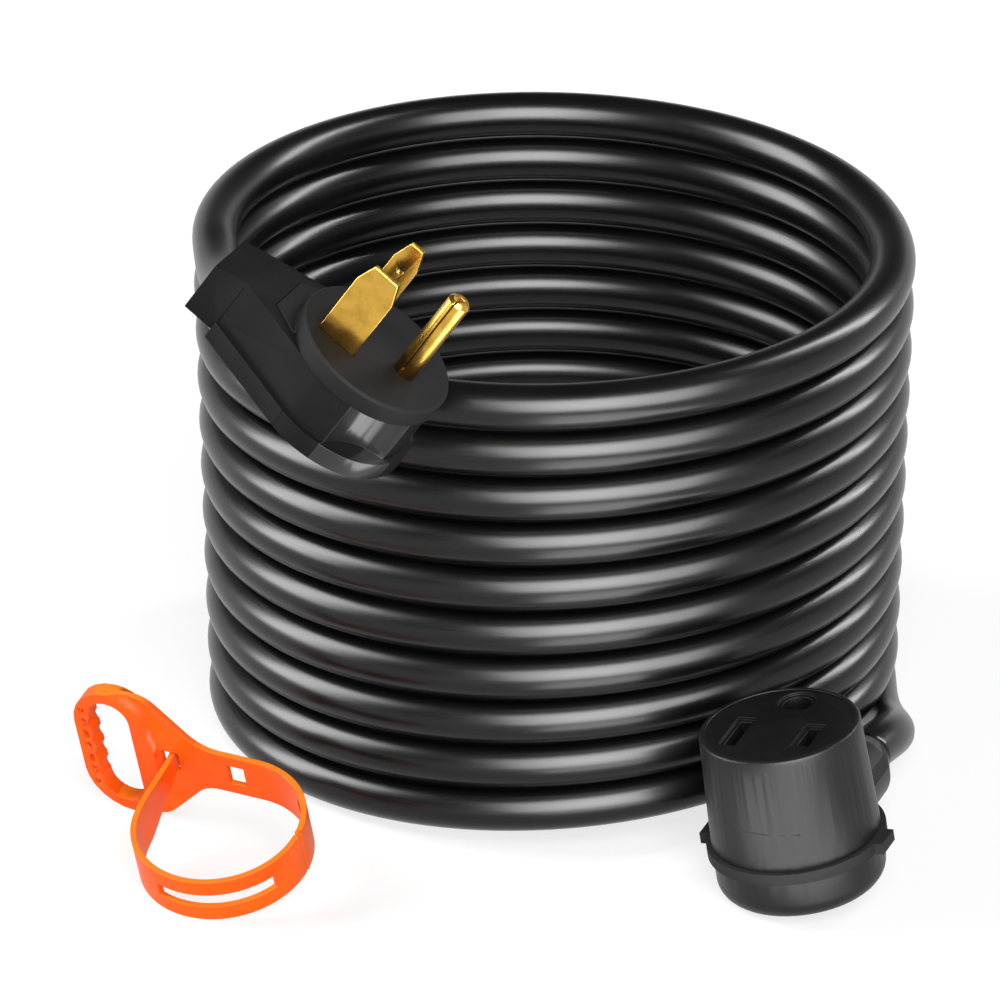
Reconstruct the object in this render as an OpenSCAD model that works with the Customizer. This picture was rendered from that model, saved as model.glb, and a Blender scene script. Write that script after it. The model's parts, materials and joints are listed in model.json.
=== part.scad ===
// Shore power cord, 50 A class: a stacked coil of round cord with an angled moulded plug at the top,
// an angled moulded connector at the bottom, and a loose one-piece carry strap.
// Millimetres, +Z up. The origin is on the floor, on the coil's axis.

/* [Cord] */
// Diameter of the cord over its jacket
cord_d = 13.5; // [12.5:0.5:14.5]
// Diameter of one insulated wire
wire_d = 4.4; // [3.8:0.1:4.6]
// Diameter of the bare strands of one wire
strand_d = 3.4; // [2.8:0.1:3.4]

/* [Coil] */
// Middle radius of the top turn
coil_r_top = 100.5; // [98:0.5:120]
// Middle radius of the lowest turn
coil_r_low = 97.5; // [96:0.5:118]
// Whole turns in the stack
coil_turns = 10; // [4:1:20]
// Gap between one turn and the next
turn_gap = 0.6; // [0.5:0.1:3]
// Direction from the axis to the point where the top turn starts
coil_start_angle = 185; // [180:1:190]
// Share of a turn over which the lowest turn comes down to the floor
settle_share = 0.45; // [0.4:0.05:0.8]

/* [Prong layout] */
// Distance between the two line blades or slots
line_spacing = 22; // [21:0.5:23]
// Distance from the line between the blades to the ground pin
ground_offset = 19.5; // [18.5:0.5:20]
// Width of a line blade
blade_w = 12.7; // [11:0.1:13]
// Width of the narrower line blade
blade_2_w = 8.3; // [7:0.1:13]
// Thickness of a line blade
blade_t = 1.9; // [1.5:0.1:2.2]
// Length of a line blade in front of the face
blade_l = 27; // [24:0.5:30]
// Width of a line blade at its tip
blade_tip_w = 8.4; // [6:0.2:9]
// Width of the narrower line blade at its tip
tip_2_w = 4.3; // [3.6:0.1:9]
// Length of the taper towards a blade's tip
blade_taper_l = 6.5; // [4:0.5:9]
// Diameter of the locating hole in a blade
blade_hole_d = 2.2; // [2:0.1:3.4]
// Distance from the narrower blade's tip to its locating hole
blade_hole_from_tip = 9; // [5:0.5:12]
// Diameter of the ground pin
pin_d = 6.9; // [6.5:0.1:7.1]
// Length of the ground pin in front of the face
pin_l = 30; // [27:0.5:33]
// Width of the seam along the rolled ground pin
pin_seam_w = 0.5; // [0.3:0.1:0.8]

/* [Plug] */
// Diameter of the round face that stands proud of the cover
plug_face_d = 48; // [46:0.5:50]
// Distance from the line between the blades to the middle of the face
plug_head_x = 9.5; // [8.5:0.5:10.5]
// Height of the round face above the cover
plug_face_h = 6; // [4:0.5:8]
// Height of the cover's block, from the face down to the grip plate
plug_block_h = 15.5; // [14.5:0.5:18]
// Thickness of the grip plate
plug_plate_h = 6; // [4:0.5:8]
// How far the grip plate stands out past the block
plug_plate_lip = 2; // [1:0.5:3]
// Distance from the blades to the end of the block on the cord's side
plug_tail_x = 30; // [29:0.5:32]
// Half width of the block at its cord end
plug_tail_w = 10; // [9.5:0.5:11]
// Radius of one finger flute
flute_r = 18; // [12:1:24]
// Depth of one finger flute
flute_depth = 5.5; // [4:0.5:6]
// Direction of the flutes from the plug's nose
flute_angle = 48; // [40:1:60]
// Length of the neck block behind the grip
neck_block_l = 10; // [8:0.5:14]
// Fall of the neck block's top towards its end
neck_fall = 2.5; // [1:0.5:4]
// Dip of the strain relief below the plug's plane
neck_roll = -37; // [-45:1:-25]
// Turn of the strain relief away from the prongs
neck_yaw = 7; // [0:1:15]
// Length of the strain relief from the neck's middle
plug_relief_l = 34; // [30:1:44]
// Place of the plug from the coil's first point, sideways
plug_dx = 42.5; // [41:0.5:44]
// Place of the plug from the coil's first point, towards the front
plug_dy = -110; // [-114:0.5:-109]
// Place of the plug from the coil's first point, upwards
plug_dz = 22.5; // [22:0.5:26]
// Turn of the plug about the vertical
plug_yaw = -23; // [-26:1:-20]
// Dip of the plug's prong end
plug_dip = 35; // [33:1:37]
// Roll of the plug
plug_roll = -1; // [-3:1:1]

/* [Connector] */
// Diameter of the barrel at the face
barrel_d = 47; // [45:0.5:48]
// Diameter of the barrel at the flange
barrel_foot_d = 49.6; // [48.5:0.5:52]
// Length of the barrel
barrel_l = 35; // [30:0.5:40]
// Wall of the barrel
barrel_wall = 2.6; // [2:0.1:3]
// Thickness of the slotted face
face_t = 5.8; // [5:0.1:7]
// Depth of the slotted insert behind its face
insert_depth = 11; // [9:0.5:13]
// Distance from the middle of the face to the line between the slots
slots_y = -5; // [-6:0.5:-4.5]
// Width of the slot for the broad blade
slot_1_w = 14; // [13.4:0.1:15]
// Width of the slot for the narrow blade
slot_2_w = 10.4; // [9:0.1:12]
// Thickness of a slot
slot_t = 3.4; // [2.8:0.1:4]
// Radius of the ground slot
ground_slot_r = 4.3; // [4:0.1:5]
// Bevel round each slot
slot_bevel = 1.3; // [0.6:0.1:1.6]
// Diameter of the rear cover
back_d = 49.6; // [49:0.2:52]
// Height of the rear cover below its flange
back_h = 13.4; // [13:0.2:16]
// Radius of the rear cover's rounded foot
back_edge_r = 6; // [4:0.5:8]
// Diameter of the flange
flange_d = 52.6; // [52:0.2:56]
// Thickness of the flange
flange_t = 3.4; // [2.4:0.2:4]
// Width across the two flange ears
ear_span = 57.2; // [55.6:0.2:60]
// Width of one flange ear
ear_w = 9; // [6:0.5:12]
// Distance from the barrel's axis to the end of the neck
conn_neck_l = 55; // [48:1:60]
// Diameter of the neck beside the cover
conn_neck_d = 22; // [20:0.5:23]
// Height of the neck's axis above the cover's foot
conn_neck_z = 11.5; // [11.5:0.1:12]
// Place of the connector from the coil's last point, sideways
conn_dx = -25.5; // [-28:0.5:-25]
// Place of the connector from the coil's last point, towards the front
conn_dy = -126; // [-130:0.5:-118]
// Turn of the neck from straight back
conn_turn = -23; // [-26:1:-20]
// Lean of the barrel away from the neck's side
conn_lean = 8.8; // [5:0.2:11]

/* [Carry strap] */
// Thickness of the band
band_t = 1.8; // [1.4:0.1:2.2]
// Height of the band
band_h = 14.5; // [13:0.5:17]
// Middle radius of the loop
loop_r = 25; // [24:0.5:32]
// Straight length of the band between the grip and the loop's bend
band_run = 29; // [27:0.5:38]
// Height of the grip
grip_h = 47; // [45:0.5:52]
// Thickness of the grip
grip_t = 5; // [4:0.5:6]
// Width of the grip from the outer edge to the web
grip_w = 25.5; // [24:0.5:28]
// Width of the hand opening
hand_w = 13.5; // [11:0.5:14]
// Height of the hand opening
hand_h = 39; // [30:0.5:40]
// Width of a keyed slot
key_w = 5.6; // [5.6:0.1:6]
// Height of a keyed slot
key_h = 7.4; // [7:0.1:8.4]
// Height of the tongue on the band's end
tongue_h = 6; // [5:0.1:6.4]
// Height of the long slot in the band
long_slot_h = 4.8; // [2:0.1:6]
// Distance of the strap's hook point from the coil's top turn
strap_away = 39.2; // [36:0.5:60]
// Direction from the coil's axis to the strap's hook point
strap_angle = 217.7; // [215:0.1:219]
// Turn of the strap about the vertical
strap_yaw = -27; // [-30:1:-24]

/* [Hidden] */
$fn = 72;
fine_fn = 36;

// Clearances: press-like seat, easy seat, and the gap between moving pieces
seat_gap = 0.05;
easy_gap = 0.2;
moving_gap = 0.3;
cut_over = 0.5;

rubber = [0.13, 0.13, 0.135];
hard_black = [0.07, 0.07, 0.075];
jacket = [0.04, 0.04, 0.045];
brass = [0.83, 0.66, 0.28];
copper = [0.72, 0.42, 0.24];
orange = [1.0, 0.37, 0.13];
wire_black = [0.08, 0.08, 0.08];
wire_red = [0.65, 0.1, 0.08];
wire_green = [0.1, 0.45, 0.2];

// ---------- Small helpers ----------

function unit(v) = v / norm(v);
function smooth(x) = let (c = min(max(x, 0), 1)) c * c * (3 - 2 * c);

// Turning matrices in the order that rotate() uses
function turn_x(a, v) = [v.x, v.y * cos(a) - v.z * sin(a), v.y * sin(a) + v.z * cos(a)];
function turn_y(a, v) = [v.x * cos(a) + v.z * sin(a), v.y, -v.x * sin(a) + v.z * cos(a)];
function turn_z(a, v) = [v.x * cos(a) - v.y * sin(a), v.x * sin(a) + v.y * cos(a), v.z];

// Outline with rounded corners from points [x, y, corner radius]
corner_steps = 6;
function corner_arc(a, b, c) =
    b[2] == 0 ? [[b.x, b.y]] :
    let (
        p = [b.x, b.y],
        u = unit([a.x, a.y] - p),
        v = unit([c.x, c.y] - p),
        half = acos(u * v) / 2,
        centre = p + unit(u + v) * b[2] / sin(half),
        first = p + u * b[2] / tan(half) - centre,
        side = cross([u.x, u.y], [v.x, v.y]) > 0 ? -1 : 1,
        a0 = atan2(first.y, first.x)
    )
    [for (i = [0 : corner_steps])
        let (ang = a0 + side * (180 - 2 * half) * i / corner_steps)
        centre + b[2] * [cos(ang), sin(ang)]];
function rounded(pts) =
    let (n = len(pts))
    [for (i = [0 : n - 1]) each corner_arc(pts[(i + n - 1) % n], pts[i], pts[(i + 1) % n])];

// Round rod between two points
module rod(a, b, d) {
    v = b - a;
    translate(a)
        rotate([0, acos(v.z / norm(v)), atan2(v.y, v.x)])
            cylinder(h = norm(v), d = d, $fn = fine_fn);
}

// Tube swept over rings of equal point counts, all faces triangles
function tube_faces(n, sides) = concat(
    [for (i = [0 : n - 2], j = [0 : sides - 1])
        [i * sides + j, (i + 1) * sides + j, i * sides + (j + 1) % sides]],
    [for (i = [0 : n - 2], j = [0 : sides - 1])
        [i * sides + (j + 1) % sides, (i + 1) * sides + j, (i + 1) * sides + (j + 1) % sides]],
    [for (j = [1 : sides - 2]) [0, j, j + 1]],
    [for (j = [1 : sides - 2]) [(n - 1) * sides, (n - 1) * sides + j + 1, (n - 1) * sides + j]]
);
module swept_tube(rings) {
    polyhedron(points = [for (r = rings) each r], faces = tube_faces(len(rings), len(rings[0])));
}

// Ring square to a line, its first side set by a level direction
function tube_ring(centre, ahead, d, sides, level) =
    let (
        side = unit(cross(level, ahead)),
        up = cross(ahead, side)
    )
    [for (j = [0 : sides - 1])
        let (a = 360 * (j + 0.5) / sides)
        centre + d / 2 * (cos(a) * side + sin(a) * up)];

// Wire that runs straight out of its hole and on along a smooth curve: start, handles and end
wire_sides = 12;
wire_steps = 10;
function bezier(p, t) =
    (1 - t) ^ 3 * p[0] + 3 * (1 - t) ^ 2 * t * p[1] + 3 * (1 - t) * t ^ 2 * p[2] + t ^ 3 * p[3];
function bezier_ahead(p, t) = unit(
    (1 - t) ^ 2 * (p[1] - p[0]) + 2 * (1 - t) * t * (p[2] - p[1]) + t ^ 2 * (p[3] - p[2])
);
module wire_along(start, p, d, level) {
    swept_tube(concat(
        [tube_ring(start, bezier_ahead(p, 0), d, wire_sides, level)],
        [for (i = [0 : wire_steps])
            let (t = i / wire_steps)
            tube_ring(bezier(p, t), bezier_ahead(p, t), d, wire_sides, level)]
    ));
}

// ---------- Coil ----------

coil_sides = 6;
coil_steps = 24;
turn_pitch = cord_d + turn_gap;
turns_total = coil_turns + coil_start_angle / 360;
floor_flat = cord_d / 10;
rest_z = cord_d / 2 - floor_flat;

function coil_angle(t) = coil_start_angle - 360 * t;
function coil_radius(t) = coil_r_top + (coil_r_low - coil_r_top) * t / turns_total;
function coil_phase(t) = (t + 1 - coil_start_angle / 360) % 1;
function coil_height(t) = rest_z + turn_pitch * (turns_total - t)
    + t / turns_total * turn_pitch * (coil_phase(t) - smooth(coil_phase(t) / settle_share));
function coil_point(t) = [
    coil_radius(t) * cos(coil_angle(t)),
    coil_radius(t) * sin(coil_angle(t)),
    coil_height(t)
];
function coil_ahead(t) = [sin(coil_angle(t)), -cos(coil_angle(t)), 0];
// Six-sided section with flat top and foot, never below the floor
function coil_ring(centre, angle) =
    [for (j = [0 : coil_sides - 1])
        let (
            a = 360 * j / coil_sides,
            r = cord_d / 2 / cos(180 / coil_sides)
        )
        [
            centre.x + r * cos(a) * cos(angle),
            centre.y + r * cos(a) * sin(angle),
            max(centre.z + r * sin(a), 0)
        ]];

coil_first = coil_point(0);
coil_last = coil_point(turns_total);
// The ends run straight on for one cord diameter
coil_lead = coil_first - cord_d * coil_ahead(0);
coil_tail = coil_last + cord_d * coil_ahead(turns_total);
coil_count = floor(turns_total * coil_steps);
coil_rings = concat(
    [coil_ring(coil_lead, coil_angle(0))],
    [for (i = [0 : coil_count])
        let (t = turns_total * i / coil_count) coil_ring(coil_point(t), coil_angle(t))],
    [coil_ring(coil_tail, coil_angle(turns_total))]
);

// Least gap between a ring and the turn below it
coil_gap = min([for (i = [0 : coil_count - coil_steps])
    min([for (k = [coil_steps - 1 : coil_steps + 2],
              a = coil_rings[i],
              b = coil_rings[min(i + k, coil_count + 2)])
        norm(a - b)])]);
echo(least_gap_between_turns = coil_gap);

module cord_coil() {
    color(jacket) swept_tube(coil_rings);
}

// ---------- Free stretches of the cord ----------

stretch_sides = 8;
function stretch_ring(centre, ahead) =
    [for (p = tube_ring(centre, ahead, cord_d, stretch_sides, [0, 0, 1])) [p.x, p.y, max(p.z, 0)]];
function stretch_rings(pts, first_ahead, last_ahead) =
    let (n = len(pts))
    [for (i = [0 : n - 1])
        stretch_ring(pts[i], i == 0 ? first_ahead : i == n - 1 ? last_ahead : unit(pts[i + 1] - pts[i - 1]))];

// ---------- Plug, in its own frame: prongs along +Z, cord towards -X, face at z = 0 ----------

function plug_place(v) = coil_first + [plug_dx, plug_dy, plug_dz]
    + turn_z(plug_yaw, turn_y(plug_dip, turn_x(plug_roll, v)));
module at_plug() {
    translate(coil_first + [plug_dx, plug_dy, plug_dz])
        rotate([plug_roll, plug_dip, plug_yaw])
            children();
}

cover_top = -plug_face_h;
plate_top = -plug_face_h - plug_block_h;
plate_foot = plate_top - plug_plate_h;
block_inset = 1;
block_r = plug_face_d / 2 - block_inset;
plate_r = block_r + plug_plate_lip;
neck_r = 8.8;
neck_rise = 0.5;
neck_z = (cover_top + plate_foot) / 2 + neck_rise;
relief_wall = 0.9;
relief_tip_r = cord_d / 2 + relief_wall;
face_bevel = 0.8;
cavity_r = 15.5;
cavity_half = 8.5;
cavity_side = 2.6;
cavity_mid_half = line_spacing / 2 + cavity_side;
cavity_x = -20;
cavity_step = 4;
cavity_floor = 1.5;
cavity_h = plug_block_h - cavity_floor;
shank_h = 5;
crimp_wall = 0.8;
crimp_bite = 0.3;
crimp_r = strand_d / 2 + crimp_wall;
crimp_l = 7;
strand_l = crimp_l - 1;
pin_root_r = pin_d / 2 - 0.4;
pin_seam_angle = -100;
pin_seam_foot = 2;
pin_tip_bevel = 1;
pin_eye_d = 1.6;
pin_eye_depth = 5;
crimp_x = -8;
crimp_drop = 4.2;
crimp_z = cover_top - shank_h - crimp_drop;
wire_hole_depth = 4;
wire_split = 5.4;
plug_wire_sink = 2.4;
plug_wire_rise = 1.6;
plug_wire_handle = 4;
plug_crimp_handle = 3;
conn_wire_handle = 10;
conn_ground_handle = 3;
conn_crimp_handle = 5;

// Rounded drop shape: a round head with a straight taper to the cord's side
module drop(head_r, tail_w, h) {
    lean = asin((head_r - tail_w) / (plug_head_x + plug_tail_x));
    translate([plug_head_x, 0, 0]) cylinder(r = head_r, h = h);
    linear_extrude(height = h)
        polygon([
            [-plug_tail_x, -tail_w],
            [plug_head_x - head_r * sin(lean), -head_r * cos(lean)],
            [plug_head_x - head_r * sin(lean), head_r * cos(lean)],
            [-plug_tail_x, tail_w]
        ]);
}

// Room inside the cover for the carrier's shank, the crimps and the wires
module plug_room(shrink, h) {
    translate([plug_head_x, 0, 0]) cylinder(r = cavity_r - shrink, h = h);
    linear_extrude(height = h)
        polygon([
            [cavity_x + shrink, -cavity_half + shrink],
            [crimp_x - cavity_step + shrink, -cavity_mid_half + shrink],
            [plug_head_x, -cavity_r + shrink],
            [plug_head_x, cavity_r - shrink],
            [crimp_x - cavity_step + shrink, cavity_mid_half - shrink],
            [cavity_x + shrink, cavity_half - shrink]
        ]);
}

// The neck block ends square, and the tapered strain relief leaves it to the back
neck_ahead = turn_x(neck_roll, turn_z(neck_yaw, [0, 1, 0]));
neck_reach = 1;
neck_root = [-plug_tail_x - neck_reach, 0, neck_z];
module plug_neck() {
    rotate([90, 0, 0])
        linear_extrude(height = 2 * plug_tail_w, center = true)
            polygon([
                [-plug_tail_x + neck_reach, cover_top],
                [-plug_tail_x, cover_top],
                [-plug_tail_x - neck_block_l, cover_top - neck_fall],
                [-plug_tail_x - neck_block_l, plate_foot + plug_plate_lip],
                [-plug_tail_x + neck_reach, plate_foot + plug_plate_lip]
            ]);
    translate(neck_root)
        rotate([neck_roll, 0, 0]) rotate([0, 0, neck_yaw]) rotate([-90, 0, 0])
            cylinder(r1 = neck_r, r2 = relief_tip_r, h = plug_relief_l);
}
plug_exit_local = neck_root + plug_relief_l * neck_ahead;
plug_exit = plug_place(plug_exit_local);
plug_exit_ahead = turn_z(plug_yaw, turn_y(plug_dip, turn_x(plug_roll, neck_ahead)));

// Wire centres on the cord's side of the cavity: line 1, line 2, ground
function plug_wire_start(i) = [
    cavity_x - wire_hole_depth,
    i == 2 ? 0 : (i == 0 ? -1 : 1) * wire_split / 2,
    crimp_z + (i == 2 ? -plug_wire_sink : plug_wire_rise)
];
function plug_crimp(i) = i == 2 ? [ground_offset - pin_root_r - crimp_l + crimp_wall, 0, crimp_z]
    : [crimp_x, (i == 0 ? -1 : 1) * line_spacing / 2, crimp_z];
function plug_wire_curve(i) =
    let (s = plug_wire_start(i) + [wire_hole_depth, 0, 0], e = plug_crimp(i))
    [s, s + [plug_wire_handle, 0, 0], e - [plug_crimp_handle, 0, 0], e];

module plug_body() {
    color(rubber) at_plug()
        difference() {
            union() {
                translate([0, 0, plate_foot]) drop(plate_r, plug_tail_w + plug_plate_lip, plug_plate_h);
                translate([0, 0, plate_top]) drop(block_r, plug_tail_w, plug_block_h);
                plug_neck();
            }
            translate([0, 0, cover_top - cavity_h]) plug_room(0, cavity_h + cut_over);
            for (i = [0 : 2])
                rod(plug_wire_start(i), plug_wire_start(i) + [wire_hole_depth + cut_over, 0, 0],
                    wire_d + 2 * seat_gap);
            for (side = [-1, 1])
                translate([
                    plug_head_x + (block_r + flute_r - flute_depth) * cos(side * flute_angle),
                    (block_r + flute_r - flute_depth) * sin(side * flute_angle),
                    plate_top
                ])
                    cylinder(r = flute_r, h = plug_block_h + cut_over);
        }
}

module plug_carrier() {
    color(hard_black) at_plug()
        difference() {
            union() {
                translate([plug_head_x, 0, cover_top])
                    cylinder(d = plug_face_d, h = plug_face_h - face_bevel);
                translate([plug_head_x, 0, -face_bevel])
                    cylinder(d1 = plug_face_d, d2 = plug_face_d - 2 * face_bevel, h = face_bevel);
                translate([0, 0, cover_top - shank_h]) plug_room(easy_gap, shank_h + cut_over);
            }
            for (side = [-1, 1])
                translate([0, side * line_spacing / 2, (cover_top - shank_h) / 2])
                    cube([
                        blade_width((side + 1) / 2) + 2 * seat_gap,
                        blade_t + 2 * seat_gap,
                        2 * (plug_face_h + shank_h)
                    ], center = true);
            translate([ground_offset, 0, cover_top - shank_h - cut_over])
                cylinder(r = pin_root_r + seat_gap, h = plug_face_h + shank_h + 2 * cut_over);
        }
}

// Crimp barrel along +X from its mouth, with room for the strands
module crimp(mouth) {
    translate(mouth) rotate([0, 90, 0])
        difference() {
            cylinder(r = crimp_r, h = crimp_l, $fn = fine_fn);
            translate([0, 0, -cut_over])
                cylinder(d = strand_d + 2 * seat_gap, h = strand_l + cut_over, $fn = fine_fn);
        }
}

function blade_width(i) = i == 0 ? blade_w : blade_2_w;
module line_blade(i) {
    foot = cover_top - shank_h;
    mouth = plug_crimp(i);
    w = blade_width(i);
    tip_w = i == 0 ? blade_tip_w : tip_2_w;
    color(brass) at_plug() {
        translate([0, mouth.y, 0])
            rotate([90, 0, 0])
                difference() {
                    linear_extrude(height = blade_t, center = true)
                        polygon([
                            [-w / 2, foot],
                            [-w / 2, blade_l - blade_taper_l],
                            [-tip_w / 2, blade_l],
                            [tip_w / 2, blade_l],
                            [w / 2, blade_l - blade_taper_l],
                            [w / 2, foot]
                        ]);
                    if (i == 1)
                        translate([0, blade_l - blade_hole_from_tip, 0])
                            cylinder(d = blade_hole_d, h = 2 * blade_t, center = true, $fn = fine_fn);
                }
        translate([crimp_x, mouth.y - blade_t / 2, crimp_z + strand_d / 2 + crimp_bite])
            cube([crimp_l, blade_t, foot - crimp_z - strand_d / 2 - crimp_bite]);
        crimp(mouth);
    }
}
module line_blade_1() {
    line_blade(0);
}
module line_blade_2() {
    line_blade(1);
}

module ground_pin() {
    tip_r = pin_d / 2 - pin_tip_bevel;
    foot = crimp_z - crimp_r;
    color(brass) at_plug() {
        translate([ground_offset, 0, 0])
            difference() {
                rotate_extrude()
                    polygon([
                        [0, foot],
                        [pin_root_r, foot],
                        [pin_root_r, 0],
                        [pin_d / 2, 0],
                        [pin_d / 2, pin_l - pin_tip_bevel],
                        [tip_r, pin_l],
                        [0, pin_l]
                    ]);
                rotate([0, 0, pin_seam_angle])
                    translate([0, -pin_seam_w / 2, pin_seam_foot]) cube([pin_d, pin_seam_w, pin_l]);
                translate([0, 0, pin_l - pin_eye_depth])
                    cylinder(d = pin_eye_d, h = pin_eye_depth + cut_over, $fn = fine_fn);
            }
        crimp(plug_crimp(2));
    }
}

module plug_wire(i, tint) {
    color(tint) at_plug() wire_along(plug_wire_start(i), plug_wire_curve(i), wire_d, [0, 0, 1]);
}
module plug_line_1_wire() {
    plug_wire(0, wire_black);
}
module plug_line_2_wire() {
    plug_wire(1, wire_red);
}
module plug_ground_wire() {
    plug_wire(2, wire_green);
}
module plug_strands() {
    color(copper) at_plug()
        for (i = [0 : 2]) rod(plug_crimp(i), plug_crimp(i) + [strand_l, 0, 0], strand_d);
}

// Route between the strain relief and the coil, as steps back from the coil's lead end
plug_route = [[1.2, -11, 0.5], [2.4, -21, 1.8], [4, -32, 4.3], [5.5, -43, 7.8]];
module cord_plug_end() {
    pts = concat([coil_lead], [for (p = plug_route) coil_lead + p], [plug_exit]);
    color(jacket) swept_tube(stretch_rings(pts, -coil_ahead(0), -plug_exit_ahead));
}

// ---------- Connector, in its own frame: barrel along +Z, neck towards +Y ----------

conn_lift = (back_d / 2 - back_edge_r) * sin(conn_lean) + back_edge_r * (1 - cos(conn_lean));
conn_origin = [coil_last.x + conn_dx, coil_last.y + conn_dy, conn_lift];
module at_connector() {
    translate(conn_origin)
        rotate([0, -conn_lean, 0])
            rotate([0, 0, conn_turn])
                children();
}
function conn_turned(v) = turn_y(-conn_lean, turn_z(conn_turn, v));

barrel_z = back_h + flange_t;
face_z = barrel_z + barrel_l;
insert_seat_z = face_z - face_t;
leaf_t = 0.8;
slot_gap = 0.35;
sleeve_r = pin_d / 2 + 0.1;
sleeve_wall = 0.9;
ground_y = slots_y + ground_offset;
contacts_r = max(
    ground_y + sleeve_r + sleeve_wall,
    norm([line_spacing / 2 + blade_t / 2 + slot_gap + leaf_t, slots_y - blade_w / 2])
);
insert_r = barrel_d / 2 - 0.4 * (barrel_d / 2 - contacts_r);
shank_r = barrel_d / 2 - 0.7 * (barrel_d / 2 - contacts_r);
spigot_r = shank_r;
spigot_h = 4;
back_room_wall = 2.6;
back_room_r = spigot_r - back_room_wall;
back_floor = 3.6;
foot_steps = 8;
ear_l = 8;
leaf_tail = 2;
leaf_top = insert_seat_z - moving_gap;
leaf_foot = insert_seat_z - insert_depth - leaf_tail;
contact_web = 1;
contact_crimp_top = leaf_foot - contact_web;
contact_crimp_foot = contact_crimp_top - crimp_l;
conn_tip_r = cord_d / 2 + relief_wall;
conn_taper_l = 8;
bevel_h = 1;
rim_round = 1;
hole_over = 1;
wire_rise = 1.2;
wire_sink = 3.2;

conn_exit = conn_origin + conn_turned([0, conn_neck_l, conn_neck_z]);
conn_exit_ahead = conn_turned([0, 1, 0]);

module connector_body() {
    color(rubber) at_connector()
        difference() {
            rotate_extrude()
                polygon([
                    [barrel_foot_d / 2 - barrel_wall - rim_round, barrel_z],
                    [barrel_foot_d / 2, barrel_z],
                    [barrel_d / 2, face_z - rim_round],
                    [barrel_d / 2 - rim_round * 0.3, face_z - rim_round * 0.3],
                    [barrel_d / 2 - rim_round, face_z],
                    [insert_r, face_z],
                    [insert_r, insert_seat_z],
                    [shank_r, insert_seat_z],
                    [shank_r, barrel_z]
                ]);
            translate([0, 0, conn_neck_z]) rotate([-90, 0, 0])
                cylinder(d = conn_neck_d + 2 * easy_gap, h = back_d);
        }
}

module connector_back() {
    color(rubber) at_connector()
        difference() {
            union() {
                rotate_extrude()
                    polygon(concat(
                        [[0, 0]],
                        [for (i = [0 : foot_steps])
                            let (a = -90 + 90 * i / foot_steps)
                            [back_d / 2 - back_edge_r * (1 - cos(a)), back_edge_r * (1 + sin(a))]],
                        [[back_d / 2, back_h], [flange_d / 2, back_h], [flange_d / 2, barrel_z],
                            [spigot_r - easy_gap, barrel_z], [spigot_r - easy_gap, barrel_z + spigot_h],
                            [0, barrel_z + spigot_h]]
                    ));
                for (side = [-1, 1])
                    translate([side * (ear_span - ear_l) / 2, 0, back_h + flange_t / 2])
                        cube([ear_l, ear_w, flange_t], center = true);
                translate([0, back_room_r / 2, conn_neck_z]) rotate([-90, 0, 0])
                    cylinder(d = conn_neck_d, h = conn_neck_l - conn_taper_l - back_room_r / 2);
                translate([0, conn_neck_l - conn_taper_l, conn_neck_z]) rotate([-90, 0, 0])
                    cylinder(d1 = conn_neck_d, d2 = 2 * conn_tip_r, h = conn_taper_l);
            }
            translate([0, 0, back_floor]) cylinder(r = back_room_r, h = 2 * barrel_z);
            for (i = [0 : 2])
                rod(conn_wire_start(i), conn_wire_start(i) - [0, wire_hole_depth + hole_over, 0],
                    wire_d + 2 * seat_gap);
        }
}

// D-shaped ground slot: a round hole with one flat side
module ground_slot(grow, h) {
    difference() {
        cylinder(r = ground_slot_r + grow, h = h);
        translate([-barrel_d / 2, -barrel_d - sleeve_r - seat_gap - grow, -cut_over])
            cube([barrel_d, barrel_d, h + 2 * cut_over]);
    }
}

module connector_face() {
    pocket_t = blade_t + 2 * slot_gap + 2 * leaf_t + 2 * seat_gap;
    color(hard_black) at_connector()
        difference() {
            union() {
                translate([0, 0, insert_seat_z]) cylinder(r = insert_r - seat_gap, h = face_t - easy_gap);
                translate([0, 0, insert_seat_z - insert_depth])
                    cylinder(r = shank_r - easy_gap, h = insert_depth + cut_over);
            }
            for (side = [-1, 1]) translate([side * line_spacing / 2, slots_y, 0]) {
                slot_w = side < 0 ? slot_1_w : slot_2_w;
                translate([0, 0, face_z]) cube([slot_t, slot_w, 3 * face_t], center = true);
                translate([0, 0, face_z])
                    cube([slot_t + 2 * slot_bevel, slot_w + 2 * slot_bevel, 2 * bevel_h], center = true);
                translate([-pocket_t / 2, -blade_w / 2 - seat_gap, insert_seat_z - insert_depth - cut_over])
                    cube([
                        pocket_t,
                        blade_w + 2 * seat_gap,
                        leaf_top + insert_depth - insert_seat_z + cut_over
                    ]);
            }
            translate([0, ground_y, leaf_top - cut_over]) ground_slot(0, face_t + 2);
            translate([0, ground_y, face_z - bevel_h]) ground_slot(slot_bevel, face_t);
            translate([0, ground_y, insert_seat_z - insert_depth - cut_over])
                cylinder(r = sleeve_r + sleeve_wall + seat_gap,
                    h = leaf_top + insert_depth - insert_seat_z + cut_over);
        }
}

// Crimp barrel under a contact, open downwards
module contact_crimp(x, y) {
    translate([x, y, contact_crimp_foot])
        difference() {
            cylinder(r = crimp_r, h = crimp_l + contact_web / 2, $fn = fine_fn);
            translate([0, 0, -cut_over])
                cylinder(d = strand_d + 2 * seat_gap, h = strand_l + cut_over, $fn = fine_fn);
        }
}

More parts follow.
